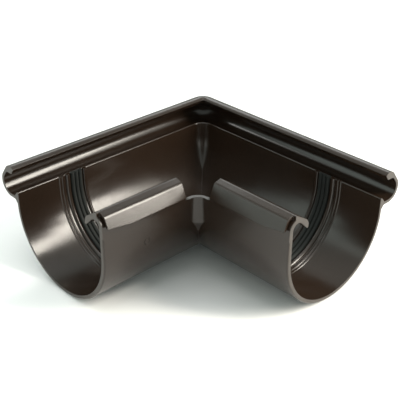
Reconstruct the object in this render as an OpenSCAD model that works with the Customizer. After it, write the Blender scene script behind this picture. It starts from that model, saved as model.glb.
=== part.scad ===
// Gutter external angle. Two half-round channel arms meet in a mitre at 90 degrees. Each arm ends in a
// push-fit socket with a rubber seal, a hollow bead runs round the outside of the turn, and a clip with
// a hanging flap runs along each inner wall.
// Section sizes are given across the channel (u, towards the bead) and up from the channel's axis (v).
// Distances along an arm (s) start where the two channel axes cross.

/* [Channel] */
// Outside radius of the half-round channel, mm
channel_r = 66.2; // [56:0.1:80]
// Wall thickness, mm
wall = 4; // [3:0.1:5.5]
// Length of each arm from the crossing of the axes to the socket's end, mm
arm_length = 175; // [160:1:240]
// Height of the plain inner rim above the channel's axis, mm
rim_v = 22.6; // [16:0.1:28]
// Radius of the rounded outside edge at the socket's end, mm
end_round = 1.8; // [0.5:0.1:2.5]

/* [Bead] */
// Outside radius of the bead's tube, mm
bead_r = 13; // [11:0.1:16]
// Bore radius of the bead, which takes the gutter's own bead, mm
bead_bore = 10; // [8:0.1:12.5]
// Distance of the bead's centre outside the channel wall, mm
bead_out = 8.8; // [7:0.1:12]
// Height of the bead's centre above the channel's axis, mm
bead_v = 18.3; // [16:0.1:24]
// Radius of the rolled top edge of the bead, mm
roll_r = 8.3; // [6.5:0.1:10]
// Distance of the rolled edge's centre outside the channel wall, mm
roll_out = 5.8; // [4.5:0.1:8]
// Height of the rolled edge's centre above the bead's centre, mm
roll_up = 11.5; // [10:0.1:14]
// Radius of the hollow under the bead's lip, mm
roof_r = 6.3; // [5:0.1:7.5]
// Height of that hollow's centre above the bead's centre, mm
roof_up = 6; // [4:0.1:7]
// Lean of the bead lip's inner face from upright, degrees
lip_lean = 33; // [25:1:40]
// Height of the ridge between channel and bead above the bead's floor, mm
ridge_h = 7.5; // [4:0.1:9]
// Width of the ridge's foot, mm
ridge_w = 6.3; // [5:0.1:8]

/* [Clip] */
// Distance along the arm at which the clip starts, mm
clip_start = 86; // [80:1:95]
// Height of the clip arch's centre above the channel's axis, mm
arch_v = 30.8; // [28:0.1:36]
// Bore radius of the clip's arch, which takes the gutter's rear edge, mm
arch_bore = 6; // [5:0.1:7]
// Reach of the hook from the wall's outside face, mm
hook_reach = 23.6; // [21:0.1:28]
// Height of the clip's crest above the arch's centre, mm
crest_h = 13.8; // [12.6:0.1:16]
// Fall of the hook's top face towards the channel, degrees
hook_fall = 33; // [28:1:38]
// Fall of the clip's top from the crest towards the flap, degrees
top_fall = 16; // [8:1:22]
// Radius of the hook's nose, mm
nose_r = 8; // [5:0.1:9]
// Thickness of the hanging flap, mm
flap_t = 2.4; // [1.8:0.1:3]
// Lean of the flap away from the wall, degrees
flap_lean = 23; // [18:1:28]
// Drop of the flap's lower edge below the clip's crest, mm
flap_drop = 16.3; // [12:0.1:19]
// Rise of the flap's lower edge from its kink to the socket's end, mm
flap_rise = 4.2; // [2:0.1:8]
// Distance from the flap's kink to the socket's end, mm
flap_run = 37; // [20:1:60]
// Distance from the flap's end to the socket's end, mm
flap_back = 3; // [1:0.1:6]

/* [Socket seal] */
// Distance from the socket's end to the seal groove's outer side, mm
seal_inset = 58.7; // [45:0.1:70]
// Width of the seal groove, mm
groove_w = 13.8; // [11:0.1:15]
// Depth of the seal groove, mm
groove_d = 1.2; // [0.8:0.1:1.6]
// Height of the seal's lips above the channel wall, mm
lip_h = 2.8; // [2:0.1:3.4]
// Number of lips on a seal
lip_count = 3; // [2:1:4]
// Free gap between the seal and each side of its groove, mm
seal_gap = 0.2; // [0.1:0.05:0.4]
// Radius of the guard rib on the socket's side of the seal, mm
guard_r = 2.4; // [1.5:0.1:2.8]
// Radius of the stop rib on the corner's side of the seal, mm
stop_r = 2.1; // [1.5:0.1:2.8]
// Radius of the two low guide ribs, mm
guide_r = 1.6; // [1.2:0.1:2]

/* [Corner] */
// Inside radius of the channel's outer corner, mm
turn_r = 12.5; // [8:0.1:18]
// Radius of the bead's rolled edge round the outer corner, mm
bead_turn_r = 8; // [7:0.1:12]
// Outside radius of the inner corner, mm
notch_r = 9; // [6:0.1:10]
// Slope of the run-out of the inner corner's rounding, degrees
fade = 61; // [50:1:70]
// Radius of the rise from the plain rim to the clip, mm
rise_r = 9; // [5:0.1:10]

/* [Gate mark] */
// Outside radius of the ring that the mould's gate leaves, mm
gate_r = 3.3; // [2:0.1:4]
// Depth of the ring, mm
gate_depth = 0.4; // [0.2:0.05:0.6]
// Distance of the ring from the socket's end, mm
gate_inset = 47.3; // [40:0.1:60]

/* [Hidden] */
$fn = 96;
// Overlap of joined pieces and overshoot of cuts.
over = 1;
// Share by which an arc stands over the lines that it joins.
hair = 0.001;

// Channel and bead.
bore_r = channel_r - wall;
mid_r = channel_r - wall / 2;
bead_c = [channel_r + bead_out, bead_v];
roll_c = [channel_r + roll_out, bead_v + roll_up];
bead_reach = bead_c.x + bead_r;
floor_v = bead_v - bead_bore;
flare_v = bead_v - bead_r;
roof_c = bead_c + [0, roof_up];
mouth_top = roof_c.y + roof_r;
flare_round = min(3, flare_v - over);
ridge_v = floor_v + ridge_h;
ridge_foot = bore_r + ridge_w;
ridge_round = 1.1;
lip_round = 2;

// Clip.
arch_r = arch_bore + wall;
arch_c = [arch_r - channel_r, arch_v];
crest_v = arch_v + crest_h;
hook_u = hook_reach - channel_r;
tip_round = 1.2;
crest_round = 2;
bend_r = 4;
nose_sink = 0.7;
fall_pos = [hook_u - nose_r, arch_v - nose_sink] + nose_r * [sin(hook_fall), cos(hook_fall)];
crest_u = fall_pos.x - (crest_v - fall_pos.y) / tan(hook_fall);
nose_v = fall_pos.y - (hook_u - fall_pos.x) * tan(hook_fall);
under_pos = arch_c + arch_bore * [sin(45), cos(45)];
tip_v = under_pos.y - (hook_u - under_pos.x);
ring_v = arch_v + arch_r - 0.6 * wall;
crest_end = on_top(crest_u - 1.2);
bend_pos = on_top(0.2 - channel_r);
root_u = crest_end.x - 0.9;

// Socket.
groove_end = arm_length - seal_inset;
groove_start = groove_end - groove_w;
seal_far_v = ridge_v - 2;
seal_near_v = rim_v - 2;
rib_gap = 0.3;
guard_s = groove_end + rib_gap + guard_r;
guide_s = guard_s + guard_r + guide_r + 1.4;
guide_pitch = 2 * guide_r + 0.1;
guide_sink = guide_r / 2;
stop_s = groove_start - 1.2 - stop_r;

// Corner. The two pivots are the vertical axes about which the outer corner turns.
turn_pivot = bore_r - turn_r;
bead_pivot = roll_c.x - bead_turn_r;
notch_pivot = -channel_r - notch_r;
top_z = channel_r + crest_v;
shift = (arm_length - bead_reach) / 2;

// Point of the clip's top line at a distance u.
function on_top(u) = [u, crest_v - (crest_u - u) * tan(top_fall)];
function dir(a) = [cos(a), sin(a)];
function unit(a) = a / norm(a);
function wrap(p, i) = p[(i + len(p)) % len(p)];
function xy(p) = [p.x, p.y];
function back(p, i) = unit(xy(wrap(p, i - 1)) - xy(p[i]));
function ahead(p, i) = unit(xy(wrap(p, i + 1)) - xy(p[i]));
function half(p, i) = acos(back(p, i) * ahead(p, i)) / 2;
function leave(p, i) = p[i][2] / tan(half(p, i));
function centre(p, i) = xy(p[i]) + unit(back(p, i) + ahead(p, i)) * p[i][2] / sin(half(p, i));
function convex(p, i) = cross(back(p, i), ahead(p, i)) < 0;
function before(p, i) = xy(p[i]) + back(p, i) * leave(p, i);
function after(p, i) = xy(p[i]) + ahead(p, i) * leave(p, i);
function chords(p) = [
    for (i = [0 : len(p) - 1])
        each (p[i][2] > 0 ? [before(p, i), after(p, i)] : [xy(p[i])])
];

module disc(p, r) {
    translate(p) circle(r);
}

// What one rounded corner has beyond the chord between its tangent points. The disc is larger by a hair,
// so that it crosses both sides of the corner instead of only touching them.
module corner_arc(p, i) {
    r = p[i][2];
    c = centre(p, i);
    first = unit(before(p, i) - c + 0.1 * r * back(p, i));
    last = unit(after(p, i) - c + 0.1 * r * ahead(p, i));
    intersection() {
        disc(c, (1 + hair) * r);
        polygon([c + 0.9 * r * first, c + 2 * r * first, 2 * xy(p[i]) - c, c + 2 * r * last, c + 0.9 * r * last]);
    }
}

// Outline through [u, v, radius] corners, listed anticlockwise, with true arcs at the corners.
module rounded(p) {
    round_out = [for (i = [0 : len(p) - 1]) if (p[i][2] > 0 && convex(p, i)) i];
    round_in = [for (i = [0 : len(p) - 1]) if (p[i][2] > 0 && !convex(p, i)) i];
    difference() {
        union() {
            polygon(chords(p));
            for (i = round_out) corner_arc(p, i);
        }
        for (i = round_in) corner_arc(p, i);
    }
}

// Two circles joined by their outer tangents.
module strap(a, ra, b, rb) {
    way = atan2(b.y - a.y, b.x - a.x);
    open = acos((ra - rb) / norm(b - a));
    keep = 1 - hair / 2;
    disc(a, ra);
    disc(b, rb);
    polygon([
        a + keep * ra * dir(way - open),
        b + keep * rb * dir(way - open),
        b + keep * rb * dir(way + open),
        a + keep * ra * dir(way + open)
    ]);
}

// Part of a ring between the angles a0 and a1, which are less than 180 degrees apart.
module bow(c, r_in, r_out, a0, a1) {
    reach = 3 * r_out;
    intersection() {
        difference() {
            disc(c, r_out);
            disc(c, r_in);
        }
        polygon([c, c + reach * dir(a0), c + reach * dir((a0 + a1) / 2), c + reach * dir(a1)]);
    }
}

// Half-round channel with its two upright walls.
module channel_2d() {
    difference() {
        circle(channel_r);
        circle(bore_r);
        translate([-channel_r - over, 0]) square([2 * (channel_r + over), channel_r + over]);
    }
    translate([bore_r, 0]) square([wall, floor_v]);
    translate([-channel_r, 0]) square([wall, rim_v]);
}

// Flare, tube and rolled lip of the bead.
module bead_2d() {
    lean = tan(lip_lean);
    lip_u = channel_r + roll_out - 2.2;
    lip_top = mouth_top + 1.4 * roll_r;
    difference() {
        strap(bead_c, bead_r, roll_c, roll_r);
        strap(bead_c, bead_bore, roof_c, roof_r);
        rounded([
            [bore_r - wall, floor_v, 0],
            [bead_c.x, floor_v, 0],
            [bead_c.x, mouth_top, 0],
            [lip_u, mouth_top, lip_round],
            [lip_u - (lip_top - mouth_top) * lean, lip_top, 0],
            [bore_r - 4 * wall, lip_top, 0],
            [bore_r - 4 * wall, flare_v, 0],
            [bore_r - wall, flare_v, 0]
        ]);
    }
    difference() {
        translate([mid_r, flare_v]) square([bead_c.x - mid_r, floor_v - flare_v]);
        disc(bead_c, bead_bore);
    }
    difference() {
        translate([mid_r, flare_v - flare_round]) square([wall / 2 + flare_round, flare_round]);
        disc([channel_r + flare_round, flare_v - flare_round], flare_round);
    }
}

// Ridge that parts the channel from the bead.
module ridge_2d() {
    rounded([
        [bore_r, floor_v - over, 0],
        [ridge_foot, floor_v - over, 0],
        [ridge_foot, floor_v, 0],
        [bore_r, ridge_v, ridge_round]
    ]);
}

// Wall, arch and hook of the clip.
module hook_2d() {
    translate([-channel_r, rim_v - over]) square([wall, arch_v - rim_v + over]);
    bow(arch_c, arch_bore, arch_r, 45, 180);
    rounded([
        [crest_end.x, ring_v, 0],
        [arch_c.x, arch_v + arch_r - wall / 2, 0],
        [under_pos.x, under_pos.y, 0],
        [hook_u, tip_v, tip_round],
        [hook_u, nose_v, nose_r],
        [crest_u, crest_v, crest_round],
        [crest_end.x, crest_end.y, 0]
    ]);
}

// Sloping top and hanging flap of the clip.
module flap_2d() {
    top_in = [sin(top_fall), -cos(top_fall)];
    flap_in = [cos(flap_lean), -sin(flap_lean)];
    bend_in = bend_pos + flap_t * (top_in + flap_in) / (1 + top_in * flap_in);
    flap_len = (bend_pos.y - crest_v + flap_drop) / cos(flap_lean);
    flap_end = bend_pos + flap_len * dir(270 - flap_lean);
    flap_end_in = flap_end + flap_t * flap_in;
    end_r = 0.45 * flap_t;
    rounded([
        [root_u, bend_in.y + (root_u - bend_in.x) * tan(top_fall), 0.5],
        [root_u, ring_v, 0],
        [crest_end.x, ring_v, 0],
        [crest_end.x, crest_end.y, 0],
        [bend_pos.x, bend_pos.y, bend_r],
        [flap_end.x, flap_end.y, end_r],
        [flap_end_in.x, flap_end_in.y, end_r],
        [bend_in.x, bend_in.y, bend_r - flap_t]
    ]);
}

// Runs a section along the arm that points to -X, from s = a to s = b.
module run(a, b) {
    translate([-b, 0, channel_r]) rotate([90, 0, 90]) linear_extrude(b - a) children();
}

// Sweeps an outline of [radius, s] round the channel's bottom and up both of its walls.
module sweep_u(far_v, near_v) {
    translate([0, 0, channel_r]) {
        rotate([0, -90, 0]) rotate([0, 0, 90]) rotate_extrude(angle = 180) children();
        rotate([0, 0, 90]) linear_extrude(far_v) children();
        mirror([0, 1, 0]) rotate([0, 0, 90]) linear_extrude(near_v) children();
    }
}

// Outline of a round rib that stands out of the channel wall.
module rib_2d(s, r, sink) {
    intersection() {
        disc([bore_r + sink, s], r);
        translate([bore_r - r, s - r]) square([r + wall / 2, 2 * r]);
    }
}

// Turns the part of a section beyond the pivot round the outer corner.
module turn(pivot) {
    translate([pivot, pivot, channel_r]) rotate_extrude(angle = 90) intersection() {
        translate([-pivot, 0]) children();
        translate([0, -channel_r]) square([bead_reach, channel_r + crest_v]);
    }
}

// Everything on the mould's side of a sloping plane through the corner's diagonal at [d, d, z].
module above_slope(d, z) {
    size = 4 * channel_r;
    translate([d, d, z]) rotate([0, 0, 45]) rotate([0, fade, 0]) {
        translate([-size / 2, -size / 2, 0]) cube(size);
    }
}

module arm() {
    difference() {
        run(-bead_reach - over, arm_length) {
            channel_2d();
            bead_2d();
            ridge_2d();
        }
        // Mitre.
        translate([0, 0, -over]) linear_extrude(top_z + 2 * over) {
            polygon([[-arm_length, -arm_length], [arm_length, -arm_length], [arm_length, arm_length]]);
        }
        // Seal groove.
        sweep_u(seal_far_v + seal_gap, seal_near_v + seal_gap) {
            translate([bore_r - over, groove_start]) square([groove_d + over, groove_w]);
        }
        // Rounded outside edge of the socket.
        sweep_u(flare_v - flare_round, arch_v - wall) {
            difference() {
                translate([channel_r - end_round, arm_length - end_round]) square(end_round + over);
                disc([channel_r - end_round, arm_length - end_round], end_round);
            }
        }
    }
    // Ribs on both sides of the seal, and the two guide ribs.
    sweep_u(seal_far_v, seal_near_v) {
        rib_2d(guard_s, guard_r, 0);
        rib_2d(stop_s, stop_r, 0);
        for (i = [0, 1]) rib_2d(guide_s + i * guide_pitch, guide_r, guide_sink);
    }
    clip();
}

module clip() {
    difference() {
        union() {
            run(clip_start, arm_length) hook_2d();
            run(clip_start, arm_length - flap_back) flap_2d();
        }
        // The flap's lower edge rises from the kink to the end.
        translate([-arm_length, -channel_r - 0.2, channel_r + crest_v - flap_drop]) {
            rotate([90, 0, 0]) linear_extrude(2 * bend_r + flap_drop) {
                polygon([[flap_run, -0.5], [0, flap_rise], [-over, flap_rise], [-over, -over], [flap_run, -over]]);
            }
        }
    }
    // The rim rises to the clip in a hollow curve.
    translate([-clip_start, -bore_r, channel_r + rim_v - over]) rotate([90, 0, 0]) linear_extrude(wall) {
        difference() {
            translate([-over, 0]) square([rise_r + over, arch_v - rim_v + over]);
            disc([rise_r, rise_r + over], rise_r);
        }
    }
}

// Rounds the outer corner: the bead turns about one pivot, the channel's inside and the ridge about another.
module outer_corner() {
    turn(bead_pivot) {
        channel_2d();
        bead_2d();
    }
    turn(turn_pivot) ridge_2d();
    difference() {
        intersection() {
            corner_block();
            mirror([1, -1, 0]) corner_block();
        }
        turn(turn_pivot) {
            circle(bore_r);
            square([bore_r, floor_v + over]);
        }
    }
}

// Filling of the corner up to the middle of the wall.
module corner_block() {
    run(-mid_r, -turn_pivot) {
        intersection() {
            union() {
                circle(mid_r);
                square([mid_r, floor_v]);
            }
            translate([turn_pivot, -mid_r]) square([mid_r - turn_pivot, mid_r + floor_v]);
        }
    }
}

// Web that rounds the inner corner on the outside and fades out into the mitre.
module notch_web() {
    side = notch_r + wall / 2;
    low = channel_r / 3;
    intersection() {
        translate([notch_pivot, notch_pivot, low]) difference() {
            cube([side, side, channel_r + rim_v - low]);
            translate([0, 0, -over]) cylinder(r = notch_r, h = top_z);
        }
        above_slope(-0.963 * channel_r, 0.725 * channel_r);
    }
}

// Cut that rounds the same corner inside the channel.
module notch_cut() {
    side = notch_r + 2 * wall;
    low = channel_r / 3;
    intersection() {
        translate([notch_pivot, notch_pivot, low]) difference() {
            cube([side, side, top_z]);
            translate([0, 0, -over]) cylinder(r = notch_r + wall, h = 2 * top_z);
        }
        above_slope(-0.966 * bore_r, 0.755 * channel_r);
    }
}

module gate_ring() {
    translate([gate_inset - arm_length, -channel_r + gate_depth, channel_r]) rotate([90, 0, 0]) {
        difference() {
            cylinder(r = gate_r, h = over);
            translate([0, 0, -over]) cylinder(r = 0.75 * gate_r, h = 3 * over);
        }
    }
}

module seal() {
    width = groove_w - 2 * seal_gap;
    pitch = width / lip_count;
    lip_r = pitch / 2 - 0.2;
    sweep_u(seal_far_v, seal_near_v) {
        translate([bore_r - lip_h + lip_r, groove_start + seal_gap]) {
            square([groove_d + lip_h - lip_r, width]);
        }
        for (i = [0 : lip_count - 1]) {
            disc([bore_r - lip_h + lip_r, groove_start + seal_gap + (i + 0.5) * pitch], lip_r);
        }
    }
}

module angle_body() {
    color([0.2, 0.16, 0.13]) translate([shift, shift, 0]) difference() {
        union() {
            difference() {
                union() {
                    arm();
                    mirror([1, -1, 0]) arm();
                }
                // Room for the turned bead and for the turned ridge.
                translate([bead_pivot, bead_pivot, -over]) cube([bead_reach, bead_reach, 2 * top_z]);
                translate([turn_pivot, turn_pivot, channel_r + floor_v]) {
                    cube([ridge_foot - turn_pivot, ridge_foot - turn_pivot, ridge_h + over]);
                }
            }
            outer_corner();
            notch_web();
        }
        notch_cut();
        gate_ring();
    }
}

module seal_x() {
    color([0.05, 0.05, 0.05]) translate([shift, shift, 0]) seal();
}

module seal_y() {
    color([0.05, 0.05, 0.05]) translate([shift, shift, 0]) mirror([1, -1, 0]) seal();
}

angle_body();
seal_x();
seal_y();
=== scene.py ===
"""Gutter external angle in dark brown PVC with two rubber seals, on a pale studio floor."""

import math

import bpy
from mathutils import Matrix, Vector


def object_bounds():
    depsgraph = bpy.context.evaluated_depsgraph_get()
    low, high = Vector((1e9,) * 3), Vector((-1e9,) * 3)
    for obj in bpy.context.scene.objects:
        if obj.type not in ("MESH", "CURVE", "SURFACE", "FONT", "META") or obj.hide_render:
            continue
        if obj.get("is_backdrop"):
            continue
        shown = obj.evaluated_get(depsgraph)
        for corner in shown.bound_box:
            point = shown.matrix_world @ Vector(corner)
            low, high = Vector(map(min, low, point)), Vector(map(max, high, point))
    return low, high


bl_info = {
    "name": "Gutter external angle",
    "version": (1, 0, 0),
    "blender": (4, 5, 0),
    "location": "View3D > Sidebar > Gutter",
    "description": "Finishes a moulded gutter angle with two socket seals and sets its studio",
    "category": "Object",
}

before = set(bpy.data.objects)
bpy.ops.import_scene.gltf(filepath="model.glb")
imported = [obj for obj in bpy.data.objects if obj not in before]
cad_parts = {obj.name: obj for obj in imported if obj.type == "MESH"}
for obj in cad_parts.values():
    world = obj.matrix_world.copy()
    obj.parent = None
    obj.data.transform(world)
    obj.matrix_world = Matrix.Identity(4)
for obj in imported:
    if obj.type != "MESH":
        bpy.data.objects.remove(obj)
CAD_BOX = [list(corner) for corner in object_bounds()]
MM = 0.001
# Distance of the arms' end faces from the origin.
ARM_END = -CAD_BOX[0][0]
# The channel axes cross here, moved from the plan's centre towards the bead.
CROSSING = (43.5 * MM, 43.5 * MM, 0.0)
# Small roll and shift of the camera, which bring the part to its place in the picture.
CAMERA_ROLL = math.radians(0.294)
CAMERA_SHIFT = (-0.0013, 0.0624)
FLOOR_SIZE = 6.0
FLOOR_GAP = 0.2 * MM
AIR_COLOUR = (0.90, 1.0, 0.94)
AIR_STRENGTH = 0.8
KEY_LAMP = "Key lamp"
# Name, azimuth and elevation in degrees, distance and size in metres, power in watts, colour.
LAMPS = (
    (KEY_LAMP, 31, 32, 1.5, (0.28, 1.2), None, (1.0, 0.94, 0.84)),
    ("Fill lamp", -122, 26, 1.8, (0.5, 1.4), 3.2, (0.86, 1.0, 0.93)),
    ("Edge lamp", -150, 38, 1.5, (0.25, 0.25), 1.5, (1.0, 0.98, 0.95)),
    ("Top lamp", 0, 88, 1.6, (1.2, 1.2), 7.0, (1.0, 0.96, 0.97)),
    ("Rear lamp", 138, 40, 1.8, (1.4, 0.5), 8.0, (1.0, 1.0, 1.0)),
)


class AngleFinish(bpy.types.PropertyGroup):
    """Colours and surface of the PVC moulding."""

    pvc_colour: bpy.props.FloatVectorProperty(
        name="PVC colour",
        description="Base colour of the moulded PVC",
        subtype="COLOR",
        size=3,
        min=0.0,
        max=1.0,
        default=(0.0150, 0.0088, 0.0056),
    )
    worn_colour: bpy.props.FloatVectorProperty(
        name="Worn edge colour",
        description="Colour of the PVC where edges and ribs are rubbed",
        subtype="COLOR",
        size=3,
        min=0.0,
        max=1.0,
        default=(0.024, 0.017, 0.012),
    )
    # Painted highlight: the two end faces get a lighter colour that stands in for the light they catch.
    end_highlight_colour: bpy.props.FloatVectorProperty(
        name="Painted end highlight colour",
        description="Colour painted on the two end faces as a highlight of the light they catch",
        subtype="COLOR",
        size=3,
        min=0.0,
        max=1.0,
        default=(0.055, 0.044, 0.036),
    )
    edge_round: bpy.props.FloatProperty(
        name="Edge rounding",
        description="Radius that the moulding's edges show in the light",
        subtype="DISTANCE",
        unit="LENGTH",
        min=0.0001,
        max=0.002,
        default=0.0006,
    )
    gloss: bpy.props.FloatProperty(
        name="Roughness",
        description="Mean roughness of the moulded surface",
        subtype="FACTOR",
        min=0.05,
        max=0.8,
        default=0.22,
    )


class SealFinish(bpy.types.PropertyGroup):
    """Colour and surface of the rubber seals."""

    rubber_colour: bpy.props.FloatVectorProperty(
        name="Rubber colour",
        description="Base colour of the rubber seals",
        subtype="COLOR",
        size=3,
        min=0.0,
        max=1.0,
        default=(0.0060, 0.0072, 0.0064),
    )
    gloss: bpy.props.FloatProperty(
        name="Roughness",
        description="Mean roughness of the rubber",
        subtype="FACTOR",
        min=0.05,
        max=1.0,
        default=0.7,
    )


class GutterStudio(bpy.types.PropertyGroup):
    """Camera, lamps and floor."""

    lens: bpy.props.FloatProperty(
        name="Lens",
        description="Focal length of the camera, in millimetres",
        min=10.0,
        max=300.0,
        default=74.84,
    )
    distance: bpy.props.FloatProperty(
        name="Camera distance",
        description="Distance of the camera from the crossing of the channels",
        subtype="DISTANCE",
        unit="LENGTH",
        min=0.3,
        max=5.0,
        default=0.8774,
    )
    azimuth: bpy.props.FloatProperty(
        name="Azimuth",
        description="Direction of the camera round the part",
        subtype="ANGLE",
        unit="ROTATION",
        default=math.radians(-43.716),
    )
    elevation: bpy.props.FloatProperty(
        name="Elevation",
        description="Height of the camera above the horizon",
        subtype="ANGLE",
        unit="ROTATION",
        default=math.radians(31.401),
    )
    key_power: bpy.props.FloatProperty(
        name="Key lamp",
        description="Power of the narrow key lamp, in watts",
        min=0.0,
        max=500.0,
        default=36.0,
    )
    floor_colour: bpy.props.FloatVectorProperty(
        name="Floor colour",
        description="Colour of the floor",
        subtype="COLOR",
        size=3,
        min=0.0,
        max=1.0,
        default=(0.9, 0.9, 0.9),
    )


def add_socket(group, name, kind, side, value=None):
    """A named input or output on a node group."""
    socket = group.interface.new_socket(name=name, in_out=side, socket_type=kind)
    if value is not None:
        socket.default_value = value
    return socket


def maths(tree, operation, a, b, c=0.0, clamp=False):
    """A Math node; a, b and c are sockets or numbers."""
    node = tree.nodes.new("ShaderNodeMath")
    node.operation = operation
    node.use_clamp = clamp
    for slot, value in zip(node.inputs, (a, b, c)):
        if isinstance(value, (int, float)):
            slot.default_value = value
        else:
            tree.links.new(value, slot)
    return node.outputs[0]


def noise(tree, vector, scale, detail=3.0, roughness=0.5):
    """A noise texture's value, spread round 0.5."""
    node = tree.nodes.new("ShaderNodeTexNoise")
    node.inputs["Scale"].default_value = scale
    node.inputs["Detail"].default_value = detail
    node.inputs["Roughness"].default_value = roughness
    tree.links.new(vector, node.inputs["Vector"])
    return node.outputs["Fac"]


def ramp(tree, value, low, high):
    """Maps low to 0 and high to 1, smoothly."""
    node = tree.nodes.new("ShaderNodeMapRange")
    node.interpolation_type = "SMOOTHSTEP"
    node.inputs["From Min"].default_value = low
    node.inputs["From Max"].default_value = high
    tree.links.new(value, node.inputs["Value"])
    return node.outputs["Result"]


def mix_colour(tree, factor, a, b, blend="MIX"):
    """Mixes two colours; each is a socket or a colour."""
    node = tree.nodes.new("ShaderNodeMix")
    node.data_type = "RGBA"
    node.blend_type = blend
    for slot, value in ((node.inputs[0], factor), (node.inputs[6], a), (node.inputs[7], b)):
        if isinstance(value, (int, float)):
            slot.default_value = value
        elif isinstance(value, (tuple, list)):
            slot.default_value = (*value, 1.0)
        else:
            tree.links.new(value, slot)
    return node.outputs[2]


def handled_surface():
    """Node group for moulded plastic and rubber: grain, waviness, upright flow lines, smudges."""
    group = bpy.data.node_groups.new("Handled surface", "ShaderNodeTree")
    add_socket(group, "Vector", "NodeSocketVector", "INPUT")
    add_socket(group, "Grain scale", "NodeSocketFloat", "INPUT", 900.0)
    add_socket(group, "Smudge scale", "NodeSocketFloat", "INPUT", 18.0)
    add_socket(group, "Height", "NodeSocketFloat", "OUTPUT")
    add_socket(group, "Smudge", "NodeSocketFloat", "OUTPUT")
    add_socket(group, "Tone", "NodeSocketFloat", "OUTPUT")
    start = group.nodes.new("NodeGroupInput")
    end = group.nodes.new("NodeGroupOutput")
    grain = group.nodes.new("ShaderNodeTexNoise")
    grain.inputs["Detail"].default_value = 2.0
    group.links.new(start.outputs["Vector"], grain.inputs["Vector"])
    group.links.new(start.outputs["Grain scale"], grain.inputs["Scale"])
    sink = noise(group, start.outputs["Vector"], 22.0, 2.0, 0.4)
    upright = group.nodes.new("ShaderNodeVectorMath")
    upright.operation = "MULTIPLY"
    upright.inputs[1].default_value = (1.0, 1.0, 0.08)
    group.links.new(start.outputs["Vector"], upright.inputs[0])
    flow = noise(group, upright.outputs["Vector"], 70.0, 1.0, 0.4)
    height = maths(group, "MULTIPLY_ADD", grain.outputs["Fac"], 0.12, sink)
    group.links.new(maths(group, "MULTIPLY_ADD", flow, 0.35, height), end.inputs["Height"])
    smudge = group.nodes.new("ShaderNodeTexNoise")
    smudge.inputs["Detail"].default_value = 5.0
    smudge.inputs["Roughness"].default_value = 0.62
    smudge.inputs["Distortion"].default_value = 0.6
    group.links.new(start.outputs["Vector"], smudge.inputs["Vector"])
    group.links.new(start.outputs["Smudge scale"], smudge.inputs["Scale"])
    group.links.new(ramp(group, smudge.outputs["Fac"], 0.42, 0.72), end.inputs["Smudge"])
    tone = noise(group, start.outputs["Vector"], 7.0, 3.0, 0.5)
    group.links.new(ramp(group, tone, 0.3, 0.7), end.inputs["Tone"])
    return group


def edge_mask(tree, radius, low, high):
    """A mask of edges: how far the rounded normal turns away from the true one."""
    bevel = bevelled(tree, radius)
    geometry = tree.nodes.new("ShaderNodeNewGeometry")
    dot = tree.nodes.new("ShaderNodeVectorMath")
    dot.operation = "DOT_PRODUCT"
    tree.links.new(bevel.outputs["Normal"], dot.inputs[0])
    tree.links.new(geometry.outputs["Normal"], dot.inputs[1])
    turned = maths(tree, "SUBTRACT", 1.0, dot.outputs["Value"])
    return ramp(tree, turned, low, high)


def end_faces(tree):
    """A mask of the two flat faces at the ends of the arms."""
    place = tree.nodes.new("ShaderNodeTexCoord")
    parts = tree.nodes.new("ShaderNodeSeparateXYZ")
    tree.links.new(place.outputs["Object"], parts.inputs[0])
    nearest = maths(tree, "MINIMUM", parts.outputs["X"], parts.outputs["Y"])
    return ramp(tree, maths(tree, "MULTIPLY", nearest, -1.0), ARM_END - 0.5 * MM, ARM_END - 0.2 * MM)


def surface(name, group, turn):
    """A material with turned coordinates, the shared surface group and a Principled shader."""
    material = bpy.data.materials.new(name)
    material.use_nodes = True
    tree = material.node_tree
    tree.nodes.clear()
    output = tree.nodes.new("ShaderNodeOutputMaterial")
    shader = tree.nodes.new("ShaderNodeBsdfPrincipled")
    tree.links.new(shader.outputs["BSDF"], output.inputs["Surface"])
    place = tree.nodes.new("ShaderNodeTexCoord")
    mapping = tree.nodes.new("ShaderNodeMapping")
    mapping.inputs["Rotation"].default_value = turn
    tree.links.new(place.outputs["Object"], mapping.inputs["Vector"])
    handled = tree.nodes.new("ShaderNodeGroup")
    handled.node_tree = group
    tree.links.new(mapping.outputs["Vector"], handled.inputs["Vector"])
    return material, tree, shader, handled, mapping.outputs["Vector"]


def add_bump(tree, handled, shader, strength, distance):
    """Feeds the shared height to the shader's normal and returns the Bump node."""
    bump = tree.nodes.new("ShaderNodeBump")
    bump.inputs["Strength"].default_value = strength
    bump.inputs["Distance"].default_value = distance
    tree.links.new(handled.outputs["Height"], bump.inputs["Height"])
    tree.links.new(bump.outputs["Normal"], shader.inputs["Normal"])
    return bump


def bevelled(tree, radius):
    """A Bevel node that rounds the edges in the light."""
    bevel = tree.nodes.new("ShaderNodeBevel")
    bevel.samples = 4
    bevel.inputs["Radius"].default_value = radius
    return bevel


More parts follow.
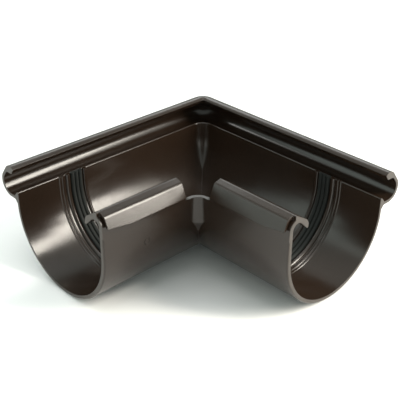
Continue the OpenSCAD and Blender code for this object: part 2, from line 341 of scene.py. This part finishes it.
def brown_pvc(look, group):
    """Satin-gloss dark brown PVC with rubbed edges, faint flow lines and smudges, and end faces painted
    lighter as a highlight.
    """
    material, tree, shader, handled, vector = surface("Brown PVC", group, (0.0, 0.0, 0.3))
    worn = edge_mask(tree, look.edge_round, 0.004, 0.12)
    patchy = ramp(tree, noise(tree, vector, 55.0, 4.0, 0.6), 0.35, 0.7)
    rubbed = maths(tree, "MULTIPLY", worn, maths(tree, "MULTIPLY_ADD", patchy, 0.5, 0.3))
    toned = mix_colour(
        tree, handled.outputs["Tone"], tuple(look.pvc_colour), tuple(c * 1.22 for c in look.pvc_colour)
    )
    worn_tone = mix_colour(tree, rubbed, toned, tuple(look.worn_colour))
    # Painted highlight: the end faces are given a lighter colour in patches, standing in for the light
    # that falls on them; the same mask also makes them rougher.
    lit_end_mask = maths(tree, "MULTIPLY", end_faces(tree), maths(tree, "MULTIPLY_ADD", patchy, 0.5, 0.4))
    coloured = mix_colour(tree, lit_end_mask, worn_tone, tuple(look.end_highlight_colour))
    tree.links.new(coloured, shader.inputs["Base Color"])
    rough = maths(tree, "MULTIPLY_ADD", handled.outputs["Smudge"], 0.05, look.gloss)
    rough = maths(tree, "MULTIPLY_ADD", maths(tree, "MAXIMUM", rubbed, lit_end_mask), 0.25, rough, clamp=True)
    tree.links.new(rough, shader.inputs["Roughness"])
    shader.inputs["IOR"].default_value = 1.47
    bump = add_bump(tree, handled, shader, 0.12, 1.2 * MM)
    tree.links.new(bevelled(tree, look.edge_round).outputs["Normal"], bump.inputs["Normal"])
    return material


def black_rubber(look, group):
    """Matt black rubber with a cool tint, a powdery bloom and a fine grain."""
    material, tree, shader, handled, _ = surface("Black rubber", group, (0.4, 0.2, 0.1))
    handled.inputs["Grain scale"].default_value = 1500.0
    handled.inputs["Smudge scale"].default_value = 60.0
    base = tuple(look.rubber_colour)
    toned = mix_colour(tree, handled.outputs["Tone"], base, tuple(c * 1.4 for c in base))
    bloom = maths(tree, "MULTIPLY", handled.outputs["Smudge"], 0.15)
    tree.links.new(mix_colour(tree, bloom, toned, (0.045, 0.05, 0.047)), shader.inputs["Base Color"])
    rough = maths(tree, "MULTIPLY_ADD", handled.outputs["Smudge"], 0.2, look.gloss)
    tree.links.new(rough, shader.inputs["Roughness"])
    shader.inputs["IOR"].default_value = 1.4
    add_bump(tree, handled, shader, 0.3, 0.4 * MM)
    return material


def shared_surface():
    """The shared node group, built on first use."""
    return bpy.data.node_groups.get("Handled surface") or handled_surface()


def dress(node_name, material):
    """Gives a CAD node its material in the object's own slot."""
    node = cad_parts[node_name]
    if not node.material_slots:
        node.data.materials.append(material)
    for slot in node.material_slots:
        slot.link = "OBJECT"
        slot.material = material


class GUTTER_OT_angle_body(bpy.types.Operator):
    """Finishes the moulded angle in brown PVC"""

    bl_idname = "gutter.angle_body"
    bl_label = "Angle body"

    def execute(self, context):
        dress("angle_body", brown_pvc(context.scene.gutter_angle, shared_surface()))
        return {"FINISHED"}


class GUTTER_OT_seals(bpy.types.Operator):
    """Finishes the two socket seals in black rubber"""

    bl_idname = "gutter.seals"
    bl_label = "Socket seals"

    def execute(self, context):
        rubber = black_rubber(context.scene.gutter_seals, shared_surface())
        for name in ("seal_x", "seal_y"):
            dress(name, rubber)
        return {"FINISHED"}


def aim(obj, place, target):
    """Puts obj at place and points its -Z axis at target."""
    way = (Vector(target) - Vector(place)).to_track_quat("-Z", "Y")
    obj.matrix_world = Matrix.Translation(place) @ way.to_matrix().to_4x4()


def direction(azimuth, elevation):
    """A unit vector from two angles in radians; azimuth 0 is towards -Y."""
    flat = math.cos(elevation)
    return Vector((math.sin(azimuth) * flat, -math.cos(azimuth) * flat, math.sin(elevation)))


def panel_lamp(name, azimuth, elevation, distance, size, power, colour, centre):
    """A rectangular soft lamp that points at the centre; its angles are in degrees."""
    lamp = bpy.data.lights.new(name, "AREA")
    lamp.shape = "RECTANGLE"
    lamp.size, lamp.size_y = size
    lamp.energy = power
    lamp.color = colour
    obj = bpy.data.objects.new(name, lamp)
    bpy.context.scene.collection.objects.link(obj)
    way = direction(math.radians(azimuth), math.radians(elevation))
    aim(obj, centre + way * distance, centre)


class GUTTER_OT_stage(bpy.types.Operator):
    """Makes the pale floor, the soft lamps, the surrounding light and the camera"""

    bl_idname = "gutter.stage"
    bl_label = "Studio"

    def execute(self, context):
        studio = context.scene.gutter_studio
        low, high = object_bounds()
        self.floor(studio, low.z)
        self.camera(studio, Vector(CROSSING))
        for name, azimuth, elevation, distance, size, power, colour in LAMPS:
            watts = studio.key_power if name == KEY_LAMP else power
            panel_lamp(name, azimuth, elevation, distance, size, watts, colour, (low + high) / 2)
        self.surroundings(context.scene)
        return {"FINISHED"}

    @staticmethod
    def floor(studio, height):
        """The plain floor, just below the part."""
        bpy.ops.object.select_all(action="DESELECT")
        bpy.ops.mesh.primitive_plane_add(size=FLOOR_SIZE, location=(0.0, 0.0, height - FLOOR_GAP))
        floor = bpy.context.object
        floor.name = "studio_floor"
        material = bpy.data.materials.new("Pale floor")
        material.use_nodes = True
        shader = material.node_tree.nodes["Principled BSDF"]
        shader.inputs["Base Color"].default_value = (*studio.floor_colour, 1.0)
        shader.inputs["Roughness"].default_value = 0.9
        floor.data.materials.append(material)
        floor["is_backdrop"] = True

    @staticmethod
    def camera(studio, target):
        """The camera, turned round the target and rolled a little."""
        back = direction(studio.azimuth, studio.elevation)
        right = Vector((math.cos(studio.azimuth), math.sin(studio.azimuth), 0.0))
        up = back.cross(right)
        across = right * math.cos(CAMERA_ROLL) + up * math.sin(CAMERA_ROLL)
        above = up * math.cos(CAMERA_ROLL) - right * math.sin(CAMERA_ROLL)
        lens = bpy.data.cameras.new("Camera")
        lens.sensor_width = 36.0
        lens.lens = studio.lens
        lens.shift_x, lens.shift_y = CAMERA_SHIFT
        lens.clip_start, lens.clip_end = 0.05, 20.0
        obj = bpy.data.objects.new("Camera", lens)
        bpy.context.scene.collection.objects.link(obj)
        turn = Matrix((across, above, back)).transposed().to_4x4()
        obj.matrix_world = Matrix.Translation(target + back * studio.distance) @ turn
        bpy.context.scene.camera = obj

    @staticmethod
    def surroundings(scene):
        """Even pale air all round and a plain view transform."""
        world = bpy.data.worlds.new("Studio air")
        world.use_nodes = True
        air = world.node_tree.nodes["Background"]
        air.inputs["Color"].default_value = (*AIR_COLOUR, 1.0)
        air.inputs["Strength"].default_value = AIR_STRENGTH
        scene.world = world
        scene.view_settings.view_transform = "Standard"
        scene.view_settings.look = "None"


class GUTTER_PT_panel(bpy.types.Panel):
    """Sizes, colours and steps of the gutter angle"""

    bl_label = "Gutter external angle"
    bl_idname = "GUTTER_PT_panel"
    bl_space_type = "VIEW_3D"
    bl_region_type = "UI"
    bl_category = "Gutter"

    def draw(self, context):
        layout = self.layout
        for label, holder, step in (
            ("Angle body", context.scene.gutter_angle, "gutter.angle_body"),
            ("Socket seals", context.scene.gutter_seals, "gutter.seals"),
            ("Studio", context.scene.gutter_studio, "gutter.stage"),
        ):
            box = layout.box()
            box.label(text=label)
            for name in type(holder).__annotations__:
                box.prop(holder, name)
            box.operator(step)


CLASSES = (
    AngleFinish,
    SealFinish,
    GutterStudio,
    GUTTER_OT_angle_body,
    GUTTER_OT_seals,
    GUTTER_OT_stage,
    GUTTER_PT_panel,
)


def register():
    for cls in CLASSES:
        bpy.utils.register_class(cls)
    bpy.types.Scene.gutter_angle = bpy.props.PointerProperty(type=AngleFinish)
    bpy.types.Scene.gutter_seals = bpy.props.PointerProperty(type=SealFinish)
    bpy.types.Scene.gutter_studio = bpy.props.PointerProperty(type=GutterStudio)


def unregister():
    del bpy.types.Scene.gutter_studio
    del bpy.types.Scene.gutter_seals
    del bpy.types.Scene.gutter_angle
    for cls in reversed(CLASSES):
        bpy.utils.unregister_class(cls)


def main():
    register()
    bpy.ops.gutter.angle_body()
    bpy.ops.gutter.seals()
    bpy.ops.gutter.stage()


if __name__ == "__main__":
    main()
